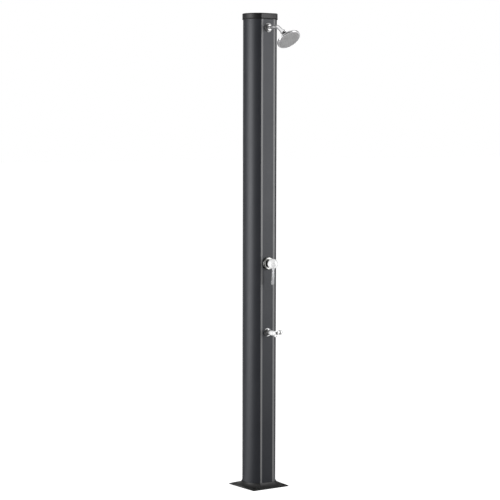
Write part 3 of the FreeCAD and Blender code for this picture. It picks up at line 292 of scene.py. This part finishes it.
tone_zone = add_group("tone_zone",
                      {"Vector": "Vector", "Centre": "Vector", "Axes": "Vector", "Outer": "Float",
                       "Inner": "Float"}, {"Mask": "Float"})
zone_in = add_node(tone_zone, "NodeGroupInput")
offset = add_node(tone_zone, "ShaderNodeVectorMath",
                  {0: zone_in.outputs["Vector"], 1: zone_in.outputs["Centre"]}, operation="SUBTRACT")
counted = add_node(tone_zone, "ShaderNodeVectorMath",
                   {0: offset.outputs["Vector"], 1: zone_in.outputs["Axes"]}, operation="MULTIPLY")
distance = add_node(tone_zone, "ShaderNodeVectorMath", {0: counted.outputs["Vector"]},
                    operation="LENGTH")
mask = add_node(tone_zone, "ShaderNodeMapRange",
                {"Value": distance.outputs["Value"], "From Min": zone_in.outputs["Outer"],
                 "From Max": zone_in.outputs["Inner"]})
add_node(tone_zone, "NodeGroupOutput", {"Mask": mask.outputs[0]})


def two_tone(material, centre, axes, limit, colour, roughness, blur=0.2):
    """Gives a finish another, unmetallic tone within a limit of a centre.

    The distance counts along the axes that are 1. The centre is in metres, and the limit and
    its blur are in millimetres.
    """
    tree = material.node_tree
    where = add_node(tree, "ShaderNodeTexCoord")
    zone = add_node(tree, "ShaderNodeGroup",
                    {"Vector": where.outputs["Object"], "Centre": centre, "Axes": axes,
                     "Outer": (limit + blur) * MM, "Inner": (limit - blur) * MM}, node_tree=tone_zone)
    for socket, kind, second in (("Base Color", "RGBA", (*colour, 1)), ("Roughness", "FLOAT", roughness),
                                 ("Metallic", "FLOAT", 0.0)):
        end = tree.nodes["Principled BSDF"].inputs[socket]
        first = end.links[0].from_socket if end.is_linked else end.default_value
        change = add_node(tree, "ShaderNodeMix",
                          {"Factor": zone.outputs["Mask"], "A": first, "B": second}, data_type=kind)
        tree.links.new(change.outputs["Result"], end)


dark_lid = make_finish("dark_lid", (0.010, 0.010, 0.011), (0.014, 0.014, 0.015), (0.40, 0.50), **SPARK)
# Painted shade: the cap's rounded top edge and the lip at its foot are coloured darker.
two_tone(dark_lid, centre=(0, 0, cap_top), axes=(0, 0, 1), limit=EDGE_HEIGHT, colour=CAP_PAINTED_SHADE_TONE,
         roughness=0.6)
two_tone(dark_lid, centre=(0, 0, cap_foot + LIP_HEIGHT / 2 * MM), axes=(0, 0, 1),
         limit=LIP_HEIGHT / 2 + LIP_MARGIN, colour=CAP_PAINTED_SHADE_TONE, roughness=0.7)
put_on(dark_lid, "top_cap")


# Screws, plates and spindles: stainless steel, turned or stamped, with faint streaks. The
# fittings are clamped against the plates behind the duct's slot.
stainless = make_finish("stainless_steel", (0.52, 0.52, 0.53), (0.60, 0.60, 0.61), (0.24, 0.36),
                        metallic=1.0, cloud_scale=120, grain_scale=900, stretch=(1, 1, 0.2))
put_on(stainless, "base_screws", "cap_screws", "arm_plate", "mixer_plate", "tap_plate", "mixer_pin",
       "tap_spindle")


# Tank plugs and pipe clips: plain dark mouldings inside the column. The plugs close both
# ends of the tank, and the clips hold the pipes to the web.
tank_plastic = make_finish("tank_plastic", (0.10, 0.10, 0.11), (0.13, 0.13, 0.14), (0.45, 0.6),
                           cloud_scale=20, grain_scale=600, grain_depth=0.05)
put_on(tank_plastic, "tank_plug_top", "tank_plug_bottom", "upper_pipe_clips", "lower_pipe_clips")


# Seals and gaskets: moulded black rubber, bloomed a little grey. They sit in the plugs'
# grooves, behind the fittings on the column's back and under the edge of the head's face.
black_rubber = make_finish("black_rubber", (0.018, 0.018, 0.018), (0.035, 0.035, 0.034), (0.6, 0.78),
                           cloud_scale=45, grain_scale=500, grain_depth=0.06)
put_on(black_rubber, "tank_seals", "inlet_gasket", "drain_gasket", "head_seal")


# Waterway fittings: brass as it comes from the lathe, dulled in patches. They are screwed
# through the tank's walls or stand in the duct, with the pipes pushed into their seats.
BRASS = {"colour": (0.58, 0.41, 0.17), "second_colour": (0.42, 0.29, 0.13), "roughness": (0.26, 0.42),
         "metallic": 1.0, "cloud_scale": 60, "grain_scale": 800}
lathe_brass = make_finish("lathe_brass", **BRASS)
put_on(lathe_brass, "inlet_connector", "inlet_nut", "cold_elbow", "drain_plug", "hot_outlet", "hot_nut",
       "arm_elbow", "tap_block")


# Mixer's body and rotor: the same brass, with painted shade in front of the cover's face: it
# is coloured near black where the neck and the fork show between the cup and the ball.
SHADE_PAINTED_HALF = 100.0
cover_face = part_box("front_cover")[0].y
valve_brass_shaded = make_finish("brass_with_painted_shade", **BRASS)
# Painted shade: near black in front of the cover's face, in the gap between cup and ball.
two_tone(valve_brass_shaded, centre=(0, cover_face - SHADE_PAINTED_HALF * MM, 0), axes=(0, 1, 0),
         limit=SHADE_PAINTED_HALF, colour=(0.01, 0.01, 0.01), roughness=0.35)
put_on(valve_brass_shaded, "mixer_body", "mixer_rotor")


# Pipes: cross-linked plastic, milky white, extruded smooth. Their ends are pushed into the
# fittings' seats.
milky_pipe = make_finish("milky_pipe", (0.62, 0.62, 0.60), (0.70, 0.70, 0.67), (0.35, 0.45),
                         cloud_scale=25, grain_scale=400, stretch=(1, 1, 0.05))
put_on(milky_pipe, "cross_pipe", "cold_pipe_lower", "cold_pipe_upper", "mixed_pipe", "hot_pipe")


# Shower arm: a bent brass tube pressed into its elbow, and the coupling on its end. Both are
# polished and chromed bright, with faint drying marks.
BRIGHT = {"cloud_scale": 70, "grain_scale": 250, "grain_depth": 0.0005}
arm_chrome = make_finish("arm_chrome", (0.94, 0.94, 0.95), (0.90, 0.90, 0.91), (0.03, 0.06),
                         metallic=0.8, **BRIGHT)
put_on(arm_chrome, "shower_arm", "arm_sleeve")


# Rosettes: domed cover plates round the arm and the tap, chromed brass, that lie against the
# cover. The arm's is plated satin and the tap's bright.
satin_rosette = make_finish("rosette_chrome", (0.62, 0.62, 0.62), (0.56, 0.56, 0.56), (0.26, 0.34),
                            metallic=1.0, **BRIGHT)
put_on(satin_rosette, "arm_rosette")
bright_rosette = make_finish("bright_chrome", (0.84, 0.84, 0.85), (0.78, 0.78, 0.79), (0.03, 0.06),
                             metallic=1.0, **BRIGHT)
put_on(bright_rosette, "tap_rosette")


# Shower head: a chromed dome whose rim holds a satin grey face plate. The rings of darker
# rubber nozzles that come through the face are moulded on one mat behind it.
head_chrome = make_finish("head_chrome", (0.74, 0.74, 0.75), (0.68, 0.68, 0.69), (0.14, 0.20),
                          metallic=1.0, **BRIGHT)
put_on(head_chrome, "head_housing")
grey_face = make_finish("grey_face", (0.31, 0.31, 0.31), (0.40, 0.40, 0.40), (0.35, 0.45),
                        cloud_scale=45, grain_scale=900)
put_on(grey_face, "head_face")
nozzle_rubber = make_finish("nozzle_rubber", (0.16, 0.16, 0.17), (0.2, 0.2, 0.21), (0.5, 0.65),
                            cloud_scale=60, grain_scale=700)
put_on(nozzle_rubber, "head_nozzles")


# Ball joint: a ball on a neck, and the nut that closes its socket, both turned. Both are
# coloured matt black as painted shade of the joint's shaded gap. The arm's end holds the
# ball's flange, and the nut is screwed on the head's hub.
joint_painted_shade = make_finish("joint_painted_shade", (0.008, 0.008, 0.008), (0.012, 0.012, 0.012), (0.5, 0.6),
                          cloud_scale=80, grain_scale=900, specular=0.25)
# Painted shade: the ball and the nut are coloured matt black for the gap at the joint.
put_on(joint_painted_shade, "swivel_ball", "collar_nut")


# Mixer: a dark satin-chromed cup with painted shade inside its rim, round a pearl-chromed
# ball. The lever is brushed along its length and pressed into the ball with a stud.
CUP_INSIDE = 19.5
cup_low, cup_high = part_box("mixer_rosette")
cup_chrome = make_finish("cup_chrome", (0.34, 0.34, 0.33), (0.30, 0.30, 0.29), (0.28, 0.36),
                         metallic=1.0, **BRIGHT)
# Painted shade: the cup is coloured near black inside its rim.
two_tone(cup_chrome, centre=(cup_low + cup_high) / 2, axes=(1, 0, 1), limit=CUP_INSIDE,
         colour=(0.08, 0.08, 0.08), roughness=0.4)
put_on(cup_chrome, "mixer_rosette")
PEARL = {"cloud_scale": 70, "grain_scale": 600, "grain_depth": 0.001}
pearl_chrome = make_finish("pearl_chrome", (0.95, 0.95, 0.95), (0.92, 0.92, 0.92), (0.20, 0.28),
                           metallic=0.12, **PEARL)
put_on(pearl_chrome, "mixer_ball")
brushed_lever = make_finish("brushed_lever", (0.40, 0.40, 0.41), (0.46, 0.46, 0.47), (0.42, 0.50),
                            metallic=1.0, cloud_scale=70, grain_scale=900, stretch=(1, 1, 0.05))
put_on(brushed_lever, "mixer_lever")


# Lower tap: a pearl-chromed barrel with painted shade that darkens it towards its rosette,
# and a brighter knob on the spindle's end. Both are turned from brass and plated.
BARREL_SHADE_REACH = 27.0
BARREL_BLUR = 8.0
tap_pearl = make_finish("tap_pearl", (0.95, 0.95, 0.95), (0.92, 0.92, 0.92), (0.20, 0.28),
                        metallic=0.12, **PEARL)
# Painted shade: the barrel is coloured darker near the cover's face.
two_tone(tap_pearl, centre=(0, cover_face, 0), axes=(0, 1, 0), limit=BARREL_SHADE_REACH,
         colour=(0.09, 0.09, 0.09), roughness=0.3, blur=BARREL_BLUR)
put_on(tap_pearl, "tap_barrel")
tap_chrome = make_finish("tap_chrome", (0.93, 0.93, 0.93), (0.88, 0.88, 0.88), (0.10, 0.18),
                         metallic=0.7, **PEARL)
put_on(tap_chrome, "tap_knob")


# Ball seat and case of the mixer's cartridge: pale low-friction plastics, moulded. They lie
# between the pieces that turn and the pieces that stand.
pale_plastic = make_finish("pale_plastic", (0.55, 0.55, 0.53), (0.62, 0.62, 0.60), (0.35, 0.5),
                           cloud_scale=90, grain_scale=700)
put_on(pale_plastic, "ball_seat", "mixer_cartridge")


# Tap bushing, aerator and the cartridge's ring nut: black acetal, glossier than the ball,
# turned, and pushed or screwed into their sockets.
black_acetal = make_finish("black_acetal", (0.012, 0.012, 0.012), (0.02, 0.02, 0.02), (0.3, 0.4),
                           cloud_scale=80, grain_scale=900)
put_on(black_acetal, "tap_bonnet", "tap_nozzle", "cartridge_ring")
